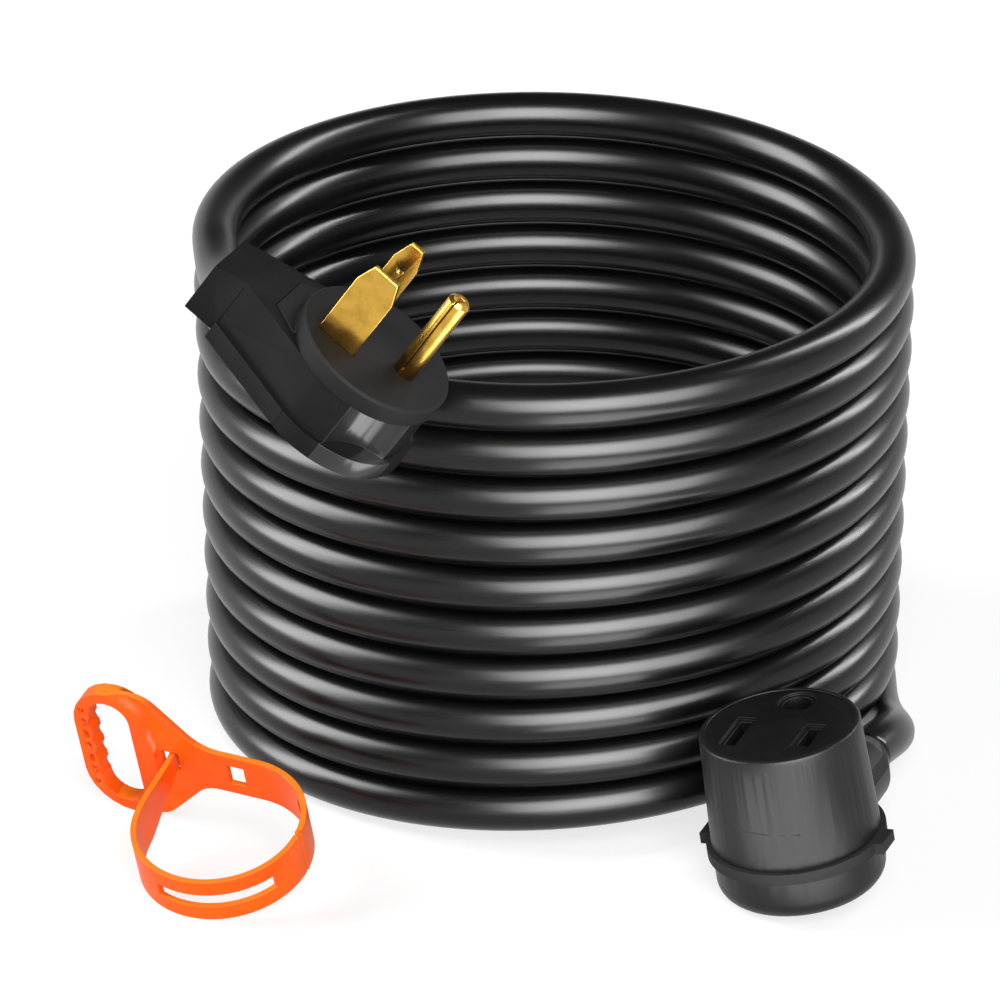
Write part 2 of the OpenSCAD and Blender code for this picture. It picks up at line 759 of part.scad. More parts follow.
module line_contact(side) {
    leaf_x = blade_t / 2 + slot_gap;
    color(brass) at_connector() {
        translate([side * line_spacing / 2, slots_y, 0]) {
            for (s = [-1, 1])
                translate([s * (leaf_x + leaf_t / 2), 0, (leaf_top + leaf_foot) / 2])
                    cube([leaf_t, blade_w, leaf_top - leaf_foot], center = true);
            translate([0, 0, leaf_foot - contact_web / 2])
                cube([2 * (leaf_x + leaf_t), blade_w, contact_web], center = true);
        }
        contact_crimp(side * line_spacing / 2, slots_y);
    }
}
module line_contact_1() {
    line_contact(-1);
}
module line_contact_2() {
    line_contact(1);
}

module ground_contact() {
    color(brass) at_connector() {
        translate([0, ground_y, 0])
            difference() {
                translate([0, 0, leaf_foot - contact_web])
                    cylinder(r = sleeve_r + sleeve_wall, h = leaf_top - leaf_foot + contact_web);
                translate([0, 0, leaf_foot]) cylinder(r = sleeve_r, h = barrel_l);
            }
        contact_crimp(0, ground_y);
    }
}

function conn_wire_start(i) = [
    i == 2 ? 0 : (i == 0 ? -1 : 1) * wire_split / 2,
    back_room_r + wire_hole_depth - hole_over,
    conn_neck_z + (i == 2 ? wire_rise : -wire_sink)
];
function conn_crimp(i) = i == 2 ? [0, ground_y, contact_crimp_foot]
    : [(i == 0 ? -1 : 1) * line_spacing / 2, slots_y, contact_crimp_foot];
function conn_wire_curve(i) =
    let (s = conn_wire_start(i) - [0, wire_hole_depth, 0], e = conn_crimp(i))
    [s, s - [0, i == 2 ? conn_ground_handle : conn_wire_handle, 0], e - [0, 0, conn_crimp_handle], e];

module connector_wire(i, tint) {
    color(tint) at_connector() wire_along(conn_wire_start(i), conn_wire_curve(i), wire_d, [1, 0, 0]);
}
module connector_line_1_wire() {
    connector_wire(0, wire_black);
}
module connector_line_2_wire() {
    connector_wire(1, wire_red);
}
module connector_ground_wire() {
    connector_wire(2, wire_green);
}
module connector_strands() {
    color(copper) at_connector()
        for (i = [0 : 2]) rod(conn_crimp(i), conn_crimp(i) + [0, 0, strand_l], strand_d);
}

// Route between the coil and the connector's neck, as steps from the coil's tail end
conn_route = [
    [0.5, -8, 0], [1.7, -16, 0.6], [3, -24, 2.5], [3.5, -32, 5.4],
    [2.6, -40, 8.5], [0.1, -48, 10.9], [-3, -55, 12.1]
];
module cord_connector_end() {
    pts = concat([coil_tail], [for (p = conn_route) coil_tail + p], [conn_exit]);
    color(jacket) swept_tube(stretch_rings(pts, coil_ahead(turns_total), -conn_exit_ahead));
}

// ---------- Carry strap, in its own frame: band along +X, loop towards -Y ----------

grip_drop = (grip_h - band_h) / 2;
strap_tilt = atan(grip_drop / (2 * loop_r + band_t / 2 - grip_t / 2));
strap_lift_z = (2 * loop_r + band_t / 2) * sin(strap_tilt);
strap_origin = [
    (coil_r_top + strap_away) * cos(strap_angle),
    (coil_r_top + strap_away) * sin(strap_angle),
    strap_lift_z
];
module at_strap() {
    translate(strap_origin)
        rotate([0, 0, strap_yaw])
            rotate([strap_tilt, 0, 0])
                children();
}

web_x = -5;
grip_corner = 10;
grip_step = 1;
grip_round = 14;
grip_wall = 6.5;
hand_round = 6.5;
finger_r = 3.1;
finger_dip = 0.8;
finger_pitch = 6.4;
key_bend_angle = 42;
bend_lead = 4;
bend_steps = 40;
shoulder_x = 10;
loop_centre = [band_run, -loop_r];
tail_lean = 2 * atan(loop_r / band_run);
hinge_angle = 6;
hinge_at = loop_centre + loop_r * [cos(hinge_angle), sin(hinge_angle)];
key_x = -3.5;
pocket_edge = 3.2;
pocket_pitch = 4.8;
pocket_w = 1.8;
pocket_h = 3;
pocket_depth = 1.5;
key_step = 22;
knuckle_r = (band_t + moving_gap) / 2;
rib_t = 1.4;
rib_l = 2.4;
rib_bite = 2;
rib_over = 2;
long_slot_angles = [251, 335];
tongue_l = 5;
taper_foot = (band_h - tongue_h) / 2;
tail_short = 3;
tail_run = band_run - tail_short;

// Upright plate of an outline drawn in X and Z, centred on y = 0
module upright(t) {
    rotate([90, 0, 0]) linear_extrude(height = t, center = true) children();
}

// Band bent about the loop's middle, drawn from above, with a straight lead before the bend
function bend_points(r, from, to) =
    [for (i = [0 : bend_steps])
        let (a = from + (to - from) * i / bend_steps)
        loop_centre + r * [cos(a), sin(a)]];
module bend_plan(from, to, lead) {
    outer = bend_points(loop_r + band_t / 2, from, to);
    inner = bend_points(loop_r - band_t / 2, from, to);
    polygon(concat(
        [outer[0] - lead],
        outer,
        [for (i = [bend_steps : -1 : 0]) inner[i]],
        [inner[0] - lead]
    ));
}

module strap_outline() {
    polygon(rounded([
        [web_x - grip_w, -grip_drop, grip_round],
        [web_x - grip_step, -grip_drop, grip_corner],
        [shoulder_x, 0, grip_corner],
        [band_run, 0, 0],
        [band_run, band_h, 0],
        [shoulder_x, band_h, grip_round],
        [web_x - grip_step, band_h + grip_drop, grip_corner],
        [web_x - grip_w, band_h + grip_drop, grip_round]
    ]));
}

// The thick grip, square on the web's side
module grip_outline() {
    polygon(rounded([
        [web_x - grip_w, -grip_drop, grip_round],
        [web_x - grip_step, -grip_drop, grip_corner],
        [web_x - grip_step, band_h + grip_drop, grip_corner],
        [web_x - grip_w, band_h + grip_drop, grip_round]
    ]));
}

module strap_handle() {
    hand_x = web_x - grip_wall - hand_w;
    hand_z = (band_h - hand_h) / 2;
    color(orange) at_strap() {
        difference() {
            union() {
                upright(band_t) strap_outline();
                upright(grip_t) grip_outline();
                for (z = [1, 3])
                    translate([web_x - rib_bite, -grip_t / 2, band_h * z / 4 - rib_t / 2])
                        cube([rib_l, grip_t, rib_t]);
                translate([web_x - rib_t, -grip_t / 2, -rib_over])
                    cube([rib_t, grip_t, band_h + 2 * rib_over]);
            }
            upright(2 * grip_t)
                polygon(rounded([
                    [hand_x, hand_z, hand_round],
                    [hand_x + hand_w, hand_z, hand_round],
                    [hand_x + hand_w, hand_z + hand_h, hand_round],
                    [hand_x, hand_z + hand_h, hand_round]
                ]));
            for (i = [0 : 3])
                translate([hand_x + finger_r - finger_dip, 0, band_h / 2 + (i - 1.5) * finger_pitch])
                    rotate([90, 0, 0]) cylinder(r = finger_r, h = 2 * grip_t, center = true, $fn = fine_fn);
            for (side = [-1, 1], i = [-3 : 3])
                translate([web_x - grip_w + pocket_edge, side * grip_t / 2, band_h / 2 + i * pocket_pitch])
                    cube([pocket_w, 2 * pocket_depth, abs(i) == 3 ? pocket_w : pocket_h], center = true);
            for (k = [0, 1])
                translate([key_x + k * key_step + key_w / 2, 0, band_h / 2])
                    cube([key_w, 2 * grip_t, key_h], center = true);
        }
        difference() {
            linear_extrude(height = band_h) bend_plan(90, hinge_angle, [bend_lead, 0]);
            translate([loop_centre.x, loop_centre.y, band_h / 2])
                rotate([0, 0, key_bend_angle])
                    translate([loop_r, 0, 0]) cube([4 * band_t, key_w, key_h], center = true);
        }
        translate([hinge_at.x, hinge_at.y, 0]) cylinder(r = knuckle_r, h = band_h, $fn = fine_fn);
    }
}

module strap_tail() {
    from = 270 - tail_lean;
    to = 360 + hinge_angle - (knuckle_r + moving_gap) / loop_r * 180 / PI;
    start = loop_centre + loop_r * [cos(from), sin(from)];
    tail_l = tail_run + tongue_l;
    color(orange) at_strap()
        difference() {
            linear_extrude(height = band_h)
                bend_plan(from, to, tail_l * [-sin(from), cos(from)]);
            translate([loop_centre.x, loop_centre.y, (band_h - long_slot_h) / 2])
                rotate([0, 0, long_slot_angles[0]])
                    rotate_extrude(angle = long_slot_angles[1] - long_slot_angles[0])
                        translate([loop_r - 2 * band_t, 0]) square([4 * band_t, long_slot_h]);
            // The end narrows to the tongue from above and from below
            for (side = [0, 1])
                translate([start.x, start.y, side * band_h])
                    rotate([0, 0, from - 90])
                        mirror([0, 0, side])
                            upright(4 * band_t)
                                polygon([
                                    [bend_lead, 0],
                                    [tail_run, taper_foot],
                                    [tail_l + cut_over, taper_foot],
                                    [tail_l + cut_over, -cut_over],
                                    [bend_lead, -cut_over]
                                ]);
        }
}

plug_body();
plug_carrier();
line_blade_1();
line_blade_2();
ground_pin();
plug_line_1_wire();
plug_line_2_wire();
plug_ground_wire();
plug_strands();
cord_plug_end();
cord_coil();
cord_connector_end();
connector_body();
connector_back();
connector_face();
line_contact_1();
line_contact_2();
ground_contact();
connector_line_1_wire();
connector_line_2_wire();
connector_ground_wire();
connector_strands();
strap_handle();
strap_tail();
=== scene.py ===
# %% [markdown]
# # A shore power cord, dressed
# The packed model gives every rigid piece at its real size: the plug, the connector, their brass parts and
# the orange carry strap. This lesson loads that frame, lays the cord itself as one long round tube, gives
# the moulded pieces softened edges, and then makes the finishes one by one. Blender works in metres, so a
# size that is easier to think of in millimetres is multiplied by MM.

import json
from math import cos, floor, pi, radians, sin

import bmesh
import bpy
import numpy as np
from mathutils import Euler, Matrix, Vector

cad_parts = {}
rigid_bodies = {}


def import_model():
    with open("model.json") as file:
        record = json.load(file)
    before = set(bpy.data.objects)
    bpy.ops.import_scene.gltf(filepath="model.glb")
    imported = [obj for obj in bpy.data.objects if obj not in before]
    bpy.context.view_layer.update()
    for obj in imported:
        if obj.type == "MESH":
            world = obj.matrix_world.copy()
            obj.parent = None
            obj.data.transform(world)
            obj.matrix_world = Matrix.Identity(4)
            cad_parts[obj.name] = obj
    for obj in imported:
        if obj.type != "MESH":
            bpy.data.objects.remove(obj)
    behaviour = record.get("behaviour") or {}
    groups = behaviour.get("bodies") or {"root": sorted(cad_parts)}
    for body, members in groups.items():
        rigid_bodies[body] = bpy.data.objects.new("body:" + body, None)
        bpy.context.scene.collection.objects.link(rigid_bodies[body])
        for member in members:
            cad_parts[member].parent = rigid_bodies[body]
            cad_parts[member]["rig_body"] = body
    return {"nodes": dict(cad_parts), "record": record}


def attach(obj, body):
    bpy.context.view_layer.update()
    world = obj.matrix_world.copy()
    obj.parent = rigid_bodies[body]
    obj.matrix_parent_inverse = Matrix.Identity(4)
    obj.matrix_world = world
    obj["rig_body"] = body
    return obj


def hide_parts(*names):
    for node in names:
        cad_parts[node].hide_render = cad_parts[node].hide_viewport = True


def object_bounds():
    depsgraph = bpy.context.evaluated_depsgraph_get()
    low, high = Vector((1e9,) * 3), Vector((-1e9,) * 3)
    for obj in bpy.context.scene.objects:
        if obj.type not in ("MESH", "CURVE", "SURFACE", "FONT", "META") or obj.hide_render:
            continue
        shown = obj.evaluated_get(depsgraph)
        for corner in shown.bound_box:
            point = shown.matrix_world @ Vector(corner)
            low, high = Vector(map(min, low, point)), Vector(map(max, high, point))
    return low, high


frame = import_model()
nodes = frame["nodes"]
cad_box = [list(v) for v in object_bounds()]
MM = 0.001
box_size = [round(float(hi - lo), 3) for lo, hi in zip(*cad_box)]
print("frame:", len(nodes), "nodes in a box of", box_size)

# %% [markdown]
# ## The camera
# The object is seen from in front and a little above, through a long lens from about two and a half metres,
# so the stacked turns stay nearly parallel. A long lens also keeps the plug's prongs in proportion.

# %% Camera
EYE = Vector((-16.11, -2170.2, 1090.8)) * MM
LOOK_DOWN = radians(25.28)
LENS = 287.2
SENSOR_WIDTH = 36
FAR_CLIP = 30

camera_data = bpy.data.cameras.new("camera")
camera_data.lens = LENS
camera_data.sensor_width = SENSOR_WIDTH
camera_data.clip_end = FAR_CLIP
camera = bpy.data.objects.new("camera", camera_data)
camera.location = EYE
camera.rotation_euler = (pi / 2 - LOOK_DOWN, 0, 0)
bpy.context.scene.collection.objects.link(camera)
bpy.context.scene.camera = camera
print("camera:", [round(v, 3) for v in camera.location])

# %% [markdown]
# ## The cord's line
# The cord leaves the plug, winds down in one stack of turns and runs on into the connector. Its line is one
# smooth curve: a helix whose radius shrinks a little towards the floor, and two short free stretches. The
# turns at the top slope down steadily. Towards the floor the drop gathers in one part of each turn, so the
# lowest one lies flat for the rest. A helix by formula is exact and short, and the frame's solid follows
# the same one.

# %% Coil sizes
CORD_D = 13.5 * MM
COIL_R_TOP = 100.5 * MM
COIL_R_LOW = 97.5 * MM
START_ANGLE = 185
TURNS = 10 + START_ANGLE / 360
TURN_GAP = 0.6 * MM
PITCH = CORD_D + TURN_GAP
REST_SHARE = 0.4
REST_Z = CORD_D * REST_SHARE
SETTLE_SHARE = 0.45
STEPS_A_TURN = 120


def smooth(x):
    """Goes from 0 to 1 with level ends."""
    c = min(max(x, 0), 1)
    return c * c * (3 - 2 * c)


def coil_point(turn):
    """A point of the coil's line, counted in turns from the top."""
    angle = radians(START_ANGLE - 360 * turn)
    radius = COIL_R_TOP + (COIL_R_LOW - COIL_R_TOP) * turn / TURNS
    phase = (turn + 1 - START_ANGLE / 360) % 1
    height = REST_Z + PITCH * (TURNS - turn)
    height += turn / TURNS * PITCH * (phase - smooth(phase / SETTLE_SHARE))
    # The solid is cut flat where it rests, and the round cord rests on its full circle
    height += (CORD_D / 2 - REST_Z) * turn / TURNS
    return Vector((radius * cos(angle), radius * sin(angle), height))


JUST_BEFORE = 1e-9
coil_first, coil_last = coil_point(0), coil_point(TURNS - JUST_BEFORE)
print("coil: from", [round(v, 3) for v in coil_first], "to", [round(v, 3) for v in coil_last])

# %% [markdown]
# ## Where the cord ends
# The plug sits high on the coil's side and is turned in three ways, and the connector stands beside the
# coil and leans a little on the edge of its foot. Their places are the same as in the frame, because the
# jacket has to end exactly in their necks. Turning a point by the piece's own rotation finds each neck's
# mouth.

# %% Plug and connector places
PLUG_ROLL, PLUG_DIP, PLUG_YAW = radians(-1), radians(35), radians(-23)
PLUG_OFFSET = (42.5, -110, 22.5)
NECK_ROLL, NECK_YAW = radians(-37), radians(7)
NECK_ROOT = (-31, 0, -16.25)
NECK_LENGTH = 34
CONNECTOR_LEAN, CONNECTOR_YAW = radians(8.8), radians(-23)
CONNECTOR_OFFSET = (-25.5, -126)
CONNECTOR_NECK = (0, 55, 11.5)
FOOT_D = 49.6
FOOT_EDGE_R = 6

PLUG_TURN = Euler((PLUG_ROLL, PLUG_DIP, PLUG_YAW)).to_matrix()
PLUG_AT = coil_first + Vector(PLUG_OFFSET) * MM
neck_turn = Euler((NECK_ROLL, 0, 0)).to_matrix() @ Euler((0, 0, NECK_YAW)).to_matrix()
neck_ahead = neck_turn @ Vector((0, 1, 0))
plug_exit = PLUG_AT + PLUG_TURN @ (Vector(NECK_ROOT) + NECK_LENGTH * neck_ahead) * MM

CONNECTOR_TURN = Matrix.Rotation(-CONNECTOR_LEAN, 3, "Y") @ Matrix.Rotation(CONNECTOR_YAW, 3, "Z")
foot_lift = (FOOT_D / 2 - FOOT_EDGE_R) * sin(CONNECTOR_LEAN) + FOOT_EDGE_R * (1 - cos(CONNECTOR_LEAN))
CONNECTOR_AT = Vector((coil_last.x, coil_last.y, 0)) + Vector((*CONNECTOR_OFFSET, foot_lift)) * MM
connector_exit = CONNECTOR_AT + CONNECTOR_TURN @ Vector(CONNECTOR_NECK) * MM
print("exits:", [round(v, 4) for v in plug_exit], [round(v, 4) for v in connector_exit])

# %% [markdown]
# ## Free stretches
# The free stretches are lists of steps in millimetres from the coil's ends, given one by one as a cable is
# laid by hand. The plug's stretch hides behind the plug, and the connector's comes forward along the floor
# and rises into the neck. A smooth curve through all the points joins them to the helix without a kink.

# %% Free stretches
ahead_first = Vector((sin(radians(START_ANGLE)), -cos(radians(START_ANGLE)), 0))
coil_lead = coil_first - CORD_D * ahead_first
coil_tail = coil_last + Vector((0, -CORD_D, 0))
PLUG_STEPS = [(1.2, -11, 0.5), (2.4, -21, 1.8), (4, -32, 4.3), (5.5, -43, 7.8)]
CONNECTOR_STEPS = [
    (0.5, -8, 0), (1.7, -16, 0.6), (3, -24, 2.5), (3.5, -32, 5.4), (2.6, -40, 8.5), (0.1, -48, 10.9),
    (-3, -55, 12.1),
]
LINE_STEP = 5 * MM


def smooth_line(points, step):
    """Points along a smooth curve through the given ones, about one step apart."""
    ends = [2 * points[0] - points[1], *points, 2 * points[-1] - points[-2]]
    line = []
    for before, a, b, after in zip(ends, ends[1:], ends[2:], ends[3:]):
        count = max(1, round((b - a).length / step))
        for t in (i / count for i in range(count)):
            line.append(
                ((2 * a) + (b - before) * t + (2 * before - 5 * a + 4 * b - after) * t**2
                 + (3 * a - 3 * b + after - before) * t**3) / 2
            )
    return [*line, points[-1]]


route = [plug_exit]
route += [coil_lead + Vector(s) * MM for s in reversed(PLUG_STEPS)] + [coil_lead]
route += [coil_point(i / STEPS_A_TURN) for i in range(floor(TURNS * STEPS_A_TURN) + 1)] + [coil_last]
for number, step in enumerate([(0, 0, 0), *CONNECTOR_STEPS]):
    # The extra height of the round cord fades out on the way up to the neck
    fade = smooth(number / len(CONNECTOR_STEPS))
    route.append(coil_tail + Vector(step) * MM + Vector((0, 0, (REST_Z - CORD_D / 2) * fade)))
route += [connector_exit]
cord_line = smooth_line(route, LINE_STEP)
cord_length = sum((b - a).length for a, b in zip(cord_line, cord_line[1:]))
print("cord line:", len(cord_line), "points,", round(cord_length, 3), "m")

# %% [markdown]
# ## The cord's jacket
# A jacket is extruded in one run, so it is one tube with no seam. It could be a bevelled curve, but a mesh
# swept ring by ring also keeps how far along and how far round each point lies. The finish uses both for
# the faint drawn lines that an extruder leaves.

# %% Tube
JACKET_SIDES = 40


def link(obj):
    bpy.context.scene.collection.objects.link(obj)
    return obj


def swept_tube(name, line, radius, sides):
    """A closed round tube along a line, with a UV map: metres along, share of the way round."""
    points = np.array([tuple(p) for p in line])
    ahead = np.gradient(points, axis=0)
    ahead /= np.linalg.norm(ahead, axis=1)[:, None]
    side = np.cross(ahead, (0, 0, 1))
    side /= np.linalg.norm(side, axis=1)[:, None]
    up = np.cross(side, ahead)
    turn = np.arange(sides) * 2 * pi / sides
    rings = points[:, None] + radius * (
        np.cos(turn)[None, :, None] * side[:, None] + np.sin(turn)[None, :, None] * up[:, None]
    )
    count = len(points)
    faces = [
        (i * sides + j, i * sides + (j + 1) % sides,
         (i + 1) * sides + (j + 1) % sides, (i + 1) * sides + j)
        for i in range(count - 1)
        for j in range(sides)
    ]
    faces.append(tuple(range(sides - 1, -1, -1)))
    faces.append(tuple((count - 1) * sides + j for j in range(sides)))
    mesh = bpy.data.meshes.new(name)
    mesh.from_pydata(rings.reshape(-1, 3).tolist(), [], faces)
    run = np.concatenate([[0], np.cumsum(np.linalg.norm(np.diff(points, axis=0), axis=1))])
    uv = mesh.uv_layers.new(name="along_round")
    corners = np.zeros((len(mesh.loops), 2))
    quads = (count - 1) * sides
    i, j = np.divmod(np.arange(quads), sides)
    for corner, (di, dj) in enumerate([(0, 0), (0, 1), (1, 1), (1, 0)]):
        corners[corner : 4 * quads : 4, 0] = run[i + di]
        corners[corner : 4 * quads : 4, 1] = (j + dj) / sides
    uv.data.foreach_set("uv", corners.ravel())
    mesh.shade_smooth()
    return link(bpy.data.objects.new(name, mesh))


cord = swept_tube("cord_jacket", cord_line, CORD_D / 2, JACKET_SIDES)
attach(cord, "cord")
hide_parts("cord_plug_end", "cord_coil", "cord_connector_end")
print("jacket:", len(cord.data.polygons), "faces")

# %% [markdown]
# ## Shader maths
# Finishes are written as sums. The class below wraps one socket of a shader tree, and an operator on it
# adds the Math node that it stands for. Any other node comes from `node`, which takes its type, its
# settings and its inputs. The alternative is a page of node and link calls for each finish, in which the
# formula is hard to see.

# %% Socket class
class Sock:
    """One output socket of a shader tree. Arithmetic on it adds Math nodes."""

    def __init__(self, socket):
        self.socket = socket

    @staticmethod
    def node(tree, kind, settings=None, inputs=None, out=0):
        """Adds a node: its settings first, then the values or links of its sockets."""
        made = tree.nodes.new("ShaderNode" + kind)
        for key, value in (settings or {}).items():
            if key == "stops":
                ramp = made.color_ramp
                while len(ramp.elements) < len(value):
                    ramp.elements.new(0.5)
                for element, (place, colour) in zip(ramp.elements, value):
                    element.position, element.color = place, colour
            else:
                setattr(made, key, value)
        for key, value in (inputs or {}).items():
            if isinstance(value, Sock):
                tree.links.new(value.socket, made.inputs[key])
            else:
                made.inputs[key].default_value = value
        return Sock(made.outputs[out]) if made.outputs else made

    def maths(self, operation, *values):
        """A Math node in this socket's tree, on the given values or sockets."""
        return Sock.node(self.socket.id_data, "Math", {"operation": operation}, dict(enumerate(values)))

    def __abs__(self):
        return self.maths("ABSOLUTE", self)

    def __add__(self, other):
        return self.maths("ADD", self, other)

    __radd__ = __add__

    def __sub__(self, other):
        return self.maths("SUBTRACT", self, other)

    def __rsub__(self, other):
        return self.maths("SUBTRACT", other, self)

    def __mul__(self, other):
        return self.maths("MULTIPLY", self, other)

    __rmul__ = __mul__

    def over(self, low, high):
        """0 below low, 1 above high, smooth between."""
        return Sock.node(
            self.socket.id_data, "MapRange", {"interpolation_type": "SMOOTHSTEP"},
            {"Value": self, "From Min": low, "From Max": high},
        )


print("socket class with", sum(callable(v) for v in vars(Sock).values()), "methods")

# %% [markdown]
# ## Helpers for finishes
# Every finish starts from the same Principled shader, and most use a grain, a blend of two colours and a
# fine relief. The grain lives in the object's own space, so it stays on the piece wherever the piece moves.
# The numbers below are the places of the node sockets that have no name of their own.

# %% Finish helpers
COLOUR_A, COLOUR_B, COLOUR_OUT = 6, 7, 2
SURFACE_NORMAL, OBJECT_SPACE = 1, 3
VALUE_OUT = 1
BEVEL_SAMPLES = 6


def finish(name, slot_colour):
    """An empty material: its tree, and its Principled shader already joined to the output."""
    material = bpy.data.materials.new(name)
    material.use_nodes = True
    material.diffuse_color = (*slot_colour, 1)
    tree = material.node_tree
    return material, tree, tree.nodes["Principled BSDF"]


def grain(tree, scale, detail=3, roughness=0.5, where=None):
    """Noise in the object's own space, 0 to 1, of about `scale` grains a metre."""
    place = where or Sock.node(tree, "TexCoord", out=OBJECT_SPACE)
    return Sock.node(
        tree, "TexNoise",
        inputs={"Vector": place, "Scale": scale, "Detail": detail, "Roughness": roughness},
    )


def mix(tree, factor, a, b):
    """Colour a where the factor is 0, colour b where it is 1."""
    a, b = (c if isinstance(c, Sock) else (*c, 1) for c in (a, b))
    return Sock.node(
        tree, "Mix", {"data_type": "RGBA"}, {"Factor": factor, COLOUR_A: a, COLOUR_B: b}, out=COLOUR_OUT
    )


def bump(tree, height, distance, edge=0):
    """Relief of a given height, on a surface whose edges are rounded to the radius `edge`."""
    inputs = {"Height": height, "Distance": distance}
    if edge:
        inputs["Normal"] = Sock.node(tree, "Bevel", {"samples": BEVEL_SAMPLES}, {"Radius": edge})
    return Sock.node(tree, "Bump", inputs=inputs)


def dot(tree, vector, axis):
    """The dot product of a vector socket and a fixed axis."""
    return Sock.node(
        tree, "VectorMath", {"operation": "DOT_PRODUCT"}, {0: vector, 1: tuple(axis)}, out=VALUE_OUT
    )


def along(tree, origin, axis):
    """How far a point lies from an origin along an axis, in millimetres."""
    place = Sock.node(tree, "TexCoord", out=OBJECT_SPACE)
    moved = Sock.node(tree, "VectorMath", {"operation": "SUBTRACT"}, {0: place, 1: tuple(origin)})
    return dot(tree, moved, axis) * (1 / MM)


def facing(tree, axis):
    """1 where the surface looks along an axis, 0 where it looks across it."""
    return dot(tree, Sock.node(tree, "TexCoord", out=SURFACE_NORMAL), axis)


def wear(tree, shader, **inputs):
    """Sets sockets of a Principled shader, by values or links."""
    for key, value in inputs.items():
        socket = shader.inputs[key.replace("_", " ")]
        if isinstance(value, Sock):
            tree.links.new(value.socket, socket)
        else:
            socket.default_value = (*value, 1) if isinstance(value, tuple) else value


print("helpers:", [f.__name__ for f in (finish, grain, mix, bump, dot, along, facing, wear)])

# %% [markdown]
# ## Jacket finish
# The jacket is black vinyl, glossy but not polished. Fine lines run along it from the extruder's die. They
# are drawn in the tube's own map, so they follow the cord round the coil. A very fine pebble breaks the
# highlight's edge. The index of refraction is low, because black gloss shows little but the lights and the
# pale floor.

# %% Jacket
DIE_LINES = (3, 90, 1)
JACKET_IOR = 1.36
JACKET_RELIEF = 0.009 * MM

jacket_finish, tree, shader = finish("black_vinyl_jacket", (0.02, 0.02, 0.022))
run = Sock.node(tree, "UVMap", {"uv_map": "along_round"})
stretched = Sock.node(tree, "Mapping", inputs={"Vector": run, "Scale": DIE_LINES})
drawn = grain(tree, 1, 2, 0.6, stretched)
pebble = grain(tree, 2200, 2)
cloudy = grain(tree, 28, 4)
wear(
    tree, shader,
    Base_Color=mix(tree, cloudy.over(0.35, 0.7), (0.0015, 0.0015, 0.0018), (0.003, 0.003, 0.0034)),
    Roughness=0.22 + 0.07 * drawn + 0.06 * cloudy,
    IOR=JACKET_IOR,
    Normal=bump(tree, 0.5 * drawn + 0.5 * pebble, JACKET_RELIEF),
)
cord.data.materials.append(jacket_finish)
print("jacket finish:", len(tree.nodes), "nodes")

# %% [markdown]
# ## Moulded and stamped pieces
# The frame's solids have knife edges, which nothing moulded or stamped has. Each piece that shows is
# copied, its flat triangles are joined back into whole faces, and a small bevel rounds every edge. The copy
# then stands for the node. The strap's flat faces have holes, which a joined face would close, so the strap
# keeps its triangles (a radius of 0 here) and its finish rounds the edges in the shading instead.

# %% Softened copies
WELD = 0.002 * MM
FLAT_ANGLE = radians(0.4)


def softened(node, radius, steps=3, angle=28):
    """A copy of a CAD node with its edges rounded, standing in the node's own place."""
    source = nodes[node]
    made = link(bpy.data.objects.new(node + "_finished", source.data.copy()))
    made.data.materials.clear()
    work = bmesh.new()
    work.from_mesh(made.data)
    bmesh.ops.remove_doubles(work, verts=work.verts, dist=WELD)
    if radius:
        bmesh.ops.dissolve_limit(
            work, angle_limit=FLAT_ANGLE, verts=work.verts, edges=work.edges,
            use_dissolve_boundaries=False,
        )
    work.to_mesh(made.data)
    work.free()
    made.data.shade_smooth()
    if radius:
        round_off = made.modifiers.new("edges", "BEVEL")
        round_off.width = radius
        round_off.segments = steps
        round_off.limit_method = "ANGLE"
        round_off.angle_limit = radians(angle)
        round_off.miter_outer = "MITER_ARC"
        round_off.harden_normals = True
    else:
        made.data.set_sharp_from_angle(angle=radians(angle))
    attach(made, source["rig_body"])
    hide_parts(node)
    return made


SOFT_EDGES = {
    "plug_body": 1.0, "plug_carrier": 0.3, "connector_body": 0.35, "connector_back": 0.6,
    "connector_face": 0.3, "line_blade_1": 0.22, "line_blade_2": 0.22, "ground_pin": 0.3,
    "strap_handle": 0, "strap_tail": 0,
}
SLOTS = {row["node"]: row["material_slot"] for row in frame["record"]["subparts"]}
soft = {}
for node, radius in SOFT_EDGES.items():
    soft[node] = softened(node, radius * MM)
print("softened:", {n: len(o.data.polygons) for n, o in soft.items()})

# %% [markdown]
# ## Flash lines
# Where the halves of a mould meet, a hair of material squeezes out and stays as a thin raised line. One
# runs round the plug's square neck and another crosses the barrel's front. Each is a very thin tube half
# sunk in the cover, made by the same sweep as the cord. A line drawn in the finish would be flat and would
# catch no light.

# %% Flash lines
FLASH_SIDES = 8


def flash_line(name, carrier, at, turn, points, radius):
    """A thin raised line where the mould's halves met, along points in millimetres on a piece."""
    line = [at + turn @ Vector(p) * MM for p in points]
    made = swept_tube(name, line, radius * MM, FLASH_SIDES)
    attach(made, nodes[carrier]["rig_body"])
    return made


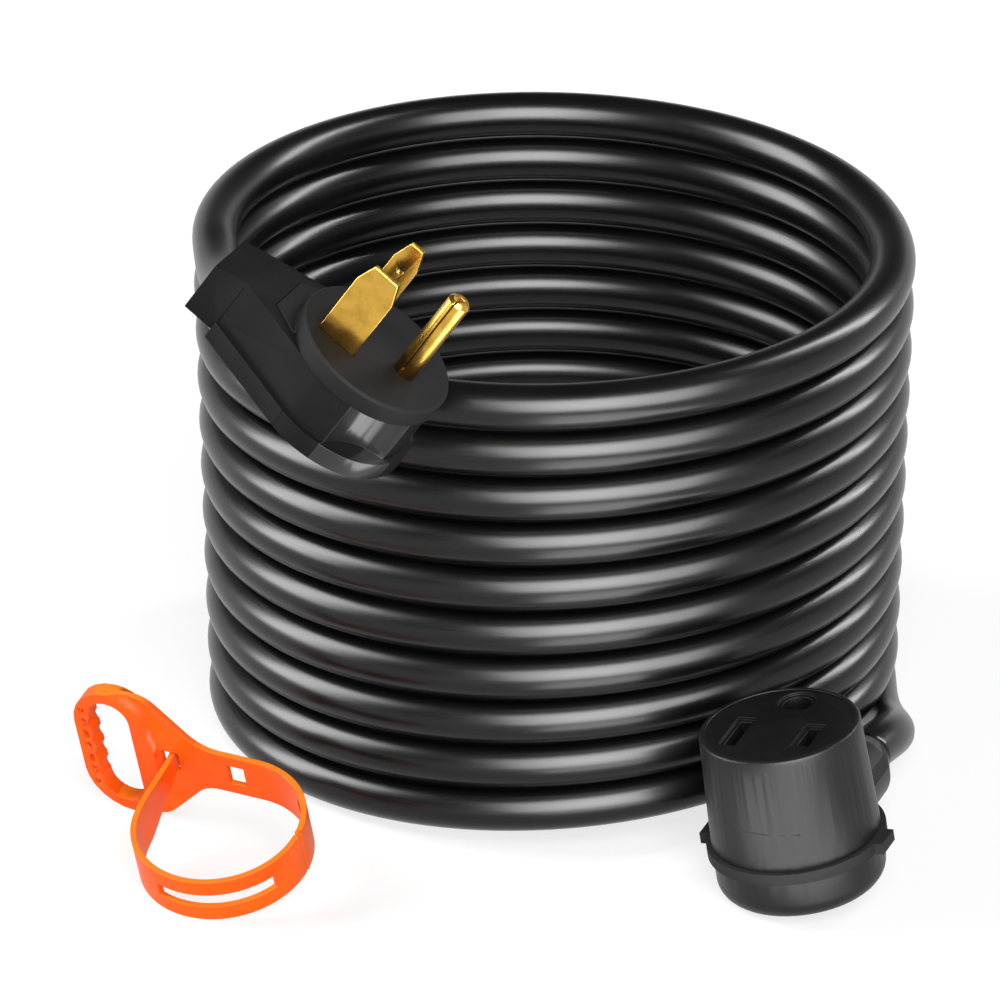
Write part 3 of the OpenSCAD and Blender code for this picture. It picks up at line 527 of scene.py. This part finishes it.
SEAM_X = -30
SEAM_R, CREASE_R = 0.22, 0.2
half_seam = [(SEAM_X, -10.05, z) for z in (-22, -17, -12, -8)]
half_seam += [(SEAM_X, -9.6, -6.5), (SEAM_X, -8.6, -6.05), (SEAM_X, -4, -6.0)]
seam_points = half_seam + [(x, -y, z) for x, y, z in reversed(half_seam)]
crease_points = [
    (-11.83, -21.15, 30.3), (-6.39, -23.4, 29.61), (-2.3, -24.15, 29.3), (1.58, -24.22, 28.94),
    (6.6, -23.4, 28.5), (11.25, -21.56, 28.11),
]
flash = {
    "plug_seam": flash_line("plug_seam", "plug_body", PLUG_AT, PLUG_TURN, seam_points, SEAM_R),
    "barrel_crease": flash_line(
        "barrel_crease", "connector_body", CONNECTOR_AT, CONNECTOR_TURN, crease_points, CREASE_R
    ),
}
print("flash lines:", {n: len(o.data.polygons) for n, o in flash.items()})

# %% [markdown]
# ## Cover rubber
# The covers are soft charcoal vinyl with a fine matte texture, and they scatter light broadly. Two places
# differ: the connector's flange is duller, and its colour is painted darker as painted shade, and the finger
# flutes are shiny from a polished part of the mould. A mask by distance finds each, along the connector's
# axis for the flange and from the flute's axis for the flutes. One function makes both covers, because only
# their gloss and their special place differ.

# %% Cover rubber
COVER_DARK, COVER_PALE = (0.005, 0.005, 0.0055), (0.009, 0.009, 0.0095)
FLANGE_BAND = (13.2, 17.0)
# Near black painted on the flange band as painted shade
FLANGE_PAINTED_SHADE = (0.001, 0.001, 0.001)
BAND_BLUR = 0.2
FLUTE_R = 18
FLUTE_AXIS = (33.25, 26.38)
FLUTE_BLUR = (0.1, 0.3)
COVER_RELIEF = 0.035 * MM


def cover_rubber(name, gloss, band=None, flutes=False):
    """Black vinyl of a given roughness and IOR. A band, in mm along the connector, may be painted darker as
    painted shade.
    """
    made, tree, shader = finish(name, (0.05, 0.05, 0.052))
    fine = grain(tree, 3200, 2)
    cloudy = grain(tree, 60, 4)
    colour = mix(tree, cloudy.over(0.3, 0.75), COVER_DARK, COVER_PALE)
    roughness = gloss[0] + 0.1 * fine
    if band:
        height = along(tree, CONNECTOR_AT, CONNECTOR_TURN @ Vector((0, 0, 1)))
        foot, top = band
        above = height.over(foot - BAND_BLUR, foot + BAND_BLUR)
        painted_shade_band = above * (1 - height.over(top - BAND_BLUR, top + BAND_BLUR))
        # Painted shade: the flange band's colour is painted near black as if it lay in shadow; its added
        # roughness is a real duller finish
        colour = mix(tree, painted_shade_band, colour, FLANGE_PAINTED_SHADE)
        roughness = roughness + 0.35 * painted_shade_band
    relief = bump(tree, fine, COVER_RELIEF)
    wear(tree, shader, Base_Color=colour, Roughness=roughness, IOR=gloss[1], Normal=relief)
    if flutes:
        ahead = along(tree, PLUG_AT, PLUG_TURN @ Vector((1, 0, 0))) - FLUTE_AXIS[0]
        aside = along(tree, PLUG_AT, PLUG_TURN @ Vector((0, 1, 0)))
        aside = abs(aside) - FLUTE_AXIS[1]
        from_axis = ahead * ahead + aside * aside
        outside = from_axis.over(*((FLUTE_R + blur) ** 2 for blur in FLUTE_BLUR))
        wear(tree, shader, Coat_Weight=0.8 * (1 - outside), Coat_Roughness=0.22, Coat_IOR=1.5)
    return made


cover_finish = cover_rubber("charcoal_cover", (0.6, 1.14), flutes=True)
connector_finish = cover_rubber("satin_connector_cover", (0.36, 1.29), band=FLANGE_BAND)
print("covers:", cover_finish.name, connector_finish.name)

# %% [markdown]
# ## Hard inserts
# The sloped rims of the face and its slots are painted paler than the flat face, a painted highlight where
# the edges catch the light. The mask finds them by their slope: they look neither straight up out of the face
# nor straight across it.

# %% Hard black insert
INSERT_DARK, INSERT_PALE = (0.004, 0.004, 0.0045), (0.007, 0.007, 0.0075)
INSERT_RELIEF = 0.03 * MM


def hard_insert(name, axis, painted_highlight, gloss):
    """Hard black plastic of a given roughness and IOR, with sloped rims painted a paler grey as a painted
    highlight.
    """
    made, tree, shader = finish(name, (0.025, 0.025, 0.027))
    fine = grain(tree, 4200, 2)
    cloudy = grain(tree, 90, 4)
    slope = facing(tree, axis)
    # Painted highlight: sloped rims get a paler grey, as edges that catch the light
    painted_rim_highlight = slope.over(0.15, 0.4) * (1 - slope.over(0.8, 0.97))
    plain = mix(tree, cloudy.over(0.3, 0.75), INSERT_DARK, INSERT_PALE)
    wear(
        tree, shader, Base_Color=mix(tree, painted_rim_highlight, plain, (painted_highlight, painted_highlight, painted_highlight)),
        Roughness=gloss[0] + 0.1 * fine, IOR=gloss[1], Normal=bump(tree, fine, INSERT_RELIEF),
    )
    return made


UP = Vector((0, 0, 1))
# The third value is the paler grey painted on the rims as a painted highlight
insert_finish = hard_insert("black_insert", PLUG_TURN @ UP, 0.012, (0.65, 1.2))
face_finish = hard_insert("black_connector_face", CONNECTOR_TURN @ UP, 0.05, (0.4, 1.22))
print("inserts:", insert_finish.name, face_finish.name)

# %% [markdown]
# ## Brass
# The prongs are rolled brass. The metal is brightest where it rubs in an outlet. Near its root it is painted
# browner, a painted reflection of the plug's dark face. The root is found by its distance from the plug's
# face, and the noise that frays its edge also gives the cloudy stain that bare brass takes on.

# %% Brass
PRONG_ROOT = 7
BRASS_BRIGHT, BRASS_STAINED = (0.58, 0.345, 0.06), (0.4, 0.22, 0.035)
# Brown painted near the prong's root as a painted reflection of the plug's dark face
ROOT_REFLECTION_BROWN = (0.2, 0.1, 0.02)

brass_finish, tree, shader = finish("rolled_brass", (0.7, 0.45, 0.1))
rolled = grain(tree, 900, 3)
stain = grain(tree, 160, 5, 0.6)
out_of_face = along(tree, PLUG_AT, PLUG_TURN @ UP)
# Painted reflection: the prong turns browner near its root, as if it mirrored the plug's dark face
root = 1 - (out_of_face + 3 * stain).over(PRONG_ROOT - 0.5, PRONG_ROOT + 1.5)
metal = mix(tree, stain.over(0.35, 0.75), BRASS_BRIGHT, BRASS_STAINED)
wear(
    tree, shader,
    Base_Color=mix(tree, 0.75 * root, metal, ROOT_REFLECTION_BROWN),
    Metallic=1.0,
    Roughness=0.2 + 0.12 * stain,
    Normal=bump(tree, rolled, 0.02 * MM),
)
print("brass:", len(tree.nodes), "nodes")

# %% [markdown]
# ## The carry strap
# The strap is one flexible orange moulding. Its upward edges are painted a shade more yellow, a painted
# highlight where they would catch the light. The mask finds them by direction, in the strap's own lean. The
# Bevel node rounds the edges in the shading, since these pieces keep the frame's own triangles.

# %% Orange strap
STRAP_YAW, STRAP_LEAN = radians(-27), radians(18.56)
STRAP_DEEP, STRAP_CLEAR = (0.86, 0.088, 0.001), (0.92, 0.12, 0.003)
# Yellower colour painted on upward-facing surfaces as a painted highlight
STRAP_PAINTED_HIGHLIGHT = (0.97, 0.2, 0.012)
STRAP_IOR = 1.2
STRAP_EDGE = 0.5 * MM

strap_finish, tree, shader = finish("orange_strap", (1.0, 0.17, 0.03))
fine = grain(tree, 2600, 2)
cloudy = grain(tree, 45, 3)
strap_up = Matrix.Rotation(STRAP_YAW, 3, "Z") @ Matrix.Rotation(STRAP_LEAN, 3, "X") @ UP
# Painted highlight: where the surface faces up in the strap's lean, its colour is painted yellower
painted_highlight = facing(tree, strap_up).over(0.8, 0.97)
plain = mix(tree, cloudy.over(0.3, 0.7), STRAP_DEEP, STRAP_CLEAR)
wear(
    tree, shader,
    Base_Color=mix(tree, painted_highlight, plain, STRAP_PAINTED_HIGHLIGHT),
    Roughness=0.36 + 0.1 * fine,
    IOR=STRAP_IOR,
    Normal=bump(tree, fine, 0.03 * MM, edge=STRAP_EDGE),
)
print("strap:", len(tree.nodes), "nodes")

# %% [markdown]
# ## Inner metals and wires
# Inside the covers, bare copper strands lie in the crimps and coloured insulation covers the three wires.
# They show only if a cover is taken off, so a simple grain and a faint cloudiness are enough.

# %% Inner metals and wires
copper_finish, tree, shader = finish("bare_copper", (0.72, 0.38, 0.2))
strands = grain(tree, 1500, 3)
wear(
    tree, shader,
    Base_Color=mix(tree, strands, (0.62, 0.30, 0.15), (0.80, 0.44, 0.26)),
    Metallic=1.0,
    Roughness=0.3 + 0.2 * strands,
)


def insulation(name, colour):
    """Coloured wire insulation with a faint cloudiness."""
    made, tree, shader = finish(name, colour)
    cloudy = grain(tree, 300, 3)
    darker = tuple(0.7 * c for c in colour)
    wear(tree, shader, Base_Color=mix(tree, cloudy, darker, colour), Roughness=0.35 + 0.2 * cloudy)
    return made


wires = {
    "wire_black": insulation("black_insulation", (0.03, 0.03, 0.03)),
    "wire_red": insulation("red_insulation", (0.5, 0.03, 0.02)),
    "wire_green": insulation("green_insulation", (0.02, 0.28, 0.07)),
}
print("inner finishes:", copper_finish.name, [m.name for m in wires.values()])

# %% [markdown]
# ## Finishes on their pieces
# The frame's record names a material slot for every node, so one table joins slots to finishes. The
# connector is more satiny than the plug, so its pieces have a finish of their own.

# %% Put the finishes on
FINISHES = {
    "cover_rubber": cover_finish, "insert_plastic": insert_finish, "brass": brass_finish,
    "copper": copper_finish, "strap_orange": strap_finish, "jacket": jacket_finish, **wires,
}
OWN_FINISH = {
    "connector_body": connector_finish, "connector_back": connector_finish,
    "connector_face": face_finish,
}
for name, obj in nodes.items():
    obj.data.materials.clear()
    obj.data.materials.append(FINISHES[SLOTS[name]])
for name, obj in soft.items():
    obj.data.materials.append(OWN_FINISH.get(name, FINISHES[SLOTS[name]]))
flash["plug_seam"].data.materials.append(cover_finish)
flash["barrel_crease"].data.materials.append(connector_finish)
print("finishes:", len(FINISHES))

# %% [markdown]
# ## Floor
# A pale floor runs far out and curls up into a low wall, so every view has a plain ground. The camera sees
# it nearly white, and so do gloss and clear pieces, but it lights the object only as a plain pale floor
# does. Part of what the camera sees is still lit, so the floor keeps the object's shadow.

# %% Floor
FLOOR_R = 6.0
WALL_H = 1.6
COVE_R = 0.8
MIDDLE_R = 0.02
COVE_STEPS = 6
SPOKES = 96
profile = [(MIDDLE_R, 0), (FLOOR_R - COVE_R, 0)]
for a in (radians(90 / COVE_STEPS * i) for i in range(1, COVE_STEPS + 1)):
    profile.append((FLOOR_R - COVE_R + COVE_R * sin(a), COVE_R - COVE_R * cos(a)))
profile.append((FLOOR_R, WALL_H))
floor_mesh = bpy.data.meshes.new("floor")
floor_points = [
    (r * cos(2 * pi * k / SPOKES), r * sin(2 * pi * k / SPOKES), z)
    for r, z in profile
    for k in range(SPOKES)
]
floor_faces = [
    (i * SPOKES + k, i * SPOKES + (k + 1) % SPOKES,
     (i + 1) * SPOKES + (k + 1) % SPOKES, (i + 1) * SPOKES + k)
    for i in range(len(profile) - 1)
    for k in range(SPOKES)
]
floor_faces.append(tuple(range(SPOKES - 1, -1, -1)))
floor_mesh.from_pydata(floor_points, [], floor_faces)
floor_obj = link(bpy.data.objects.new("floor", floor_mesh))
print("floor:", len(floor_mesh.polygons), "faces,", 2 * FLOOR_R, "m across")

# %% [markdown]
# ## Floor finish
# The floor has two faces. Diffuse light meets plain pale paint, and the camera, gloss and clear pieces meet a
# mostly glowing white. Light Path tells the two apart. A brighter lamp would whiten the floor as well, but it
# would also wash out the object.

# %% Floor finish
CAMERA_RAY, GLOSSY_RAY, TRANSMISSION_RAY = 0, 3, 6
FLOOR_GLOW = 0.74
FLOOR_LIT = 0.3

floor_finish, tree, shader = finish("pale_floor", (0.9, 0.9, 0.9))
wear(tree, shader, Base_Color=(0.8, 0.8, 0.8), Roughness=0.9)
seen = Sock.node(tree, "LightPath", out=CAMERA_RAY)
for ray in (GLOSSY_RAY, TRANSMISSION_RAY):
    seen = seen + Sock.node(tree, "LightPath", out=ray)
pale = Sock.node(tree, "BsdfDiffuse", inputs={"Color": (FLOOR_LIT, FLOOR_LIT, FLOOR_LIT, 1)})
glow = Sock.node(tree, "Emission", inputs={"Color": (1, 1, 1, 1), "Strength": FLOOR_GLOW})
bright = Sock.node(tree, "AddShader", inputs={0: pale, 1: glow})
both = Sock.node(tree, "MixShader", inputs={"Fac": seen, 1: Sock(shader.outputs[0]), 2: bright})
tree.links.new(both.socket, tree.nodes["Material Output"].inputs["Surface"])
floor_mesh.materials.append(floor_finish)
print("floor finish:", len(tree.nodes), "nodes")

# %% [markdown]
# ## Lights
# A glossy black tube shows nothing but the shapes of its lights. Two broad softboxes stand in front and at
# the left, with a slim one at the right, and these three light the object. Three more panels and a card on
# the floor in front of the connector show in gloss alone, as the white boards do that a studio sets up
# round a shiny thing: they draw the highlights, and the plain colours stay as they are.

# %% Lamp helpers
TARGET = Vector((0, 0, 0.08))
CARD_HEIGHT = 0.004


def glowing_sheet(name, width, height, radiance):
    """A rectangular area lamp that the camera doesn't see."""
    lamp = bpy.data.lights.new(name, "AREA")
    lamp.shape = "RECTANGLE"
    lamp.size, lamp.size_y = width, height
    lamp.energy = radiance * pi * width * height
    made = link(bpy.data.objects.new(name, lamp))
    made.visible_camera = False
    return made


def softbox(name, azimuth, elevation, distance, width, height, radiance):
    """A rectangular lamp aimed at the coil. Azimuth 0 stands in front, 90 at the right."""
    made = glowing_sheet(name, width, height, radiance)
    a, e = radians(azimuth), radians(elevation)
    back = Vector((sin(a) * cos(e), -cos(a) * cos(e), sin(e)))
    made.location = TARGET + back * distance
    made.rotation_mode = "QUATERNION"
    made.rotation_quaternion = back.to_track_quat("Z", "Y")
    return made


def floor_card(name, place, width, depth, radiance):
    """A glowing card that lies on the floor and faces up."""
    made = glowing_sheet(name, width, depth, radiance)
    made.location = (*place, CARD_HEIGHT)
    made.rotation_euler = (pi, 0, 0)
    return made


print("lamps aim at", list(TARGET))

# %% [markdown]
# ## Where the lights stand
# Each lamp is placed by its angle round the coil, its height above the floor as an angle and its distance.
# The last number is its radiance, so a lamp keeps its brightness in the gloss when its size changes. The
# front panel is wide, since its picture in every turn of the cord is the long pale band that shapes the
# coil.

# %% Lights
softboxes = [
    softbox("front_softbox", 9, 34, 3.2, 1.5, 2.7, 8),
    softbox("left_softbox", -96, 30, 2.6, 1.2, 1.9, 8),
    softbox("right_strip", 115, 36, 2.6, 0.3, 1.8, 13),
]
gloss_only = [
    softbox("front_sheen", 14, 26, 3.4, 3.9, 3.2, 15),
    softbox("left_sheen", -92, 26, 2.8, 1.9, 2.2, 10),
    softbox("right_sheen", 115, 36, 2.5, 0.26, 1.8, 28),
    floor_card("connector_card", (0.07, -0.31), 0.16, 0.30, 7),
]
for panel in gloss_only:
    panel.visible_diffuse = False
print("lights:", [lamp.name for lamp in softboxes + gloss_only])

# %% [markdown]
# ## World and view
# A faint even sky fills the deepest shadows. The Standard view shows a colour about as it is written, which
# the filmic views don't.

# %% World and view
SKY = 0.08

world = bpy.data.worlds.new("world")
world.use_nodes = True
world.node_tree.nodes["Background"].inputs["Color"].default_value = (1, 1, 1, 1)
world.node_tree.nodes["Background"].inputs["Strength"].default_value = SKY
bpy.context.scene.world = world
bpy.context.scene.view_settings.view_transform = "Standard"
print("view:", bpy.context.scene.view_settings.view_transform, "sky", SKY)
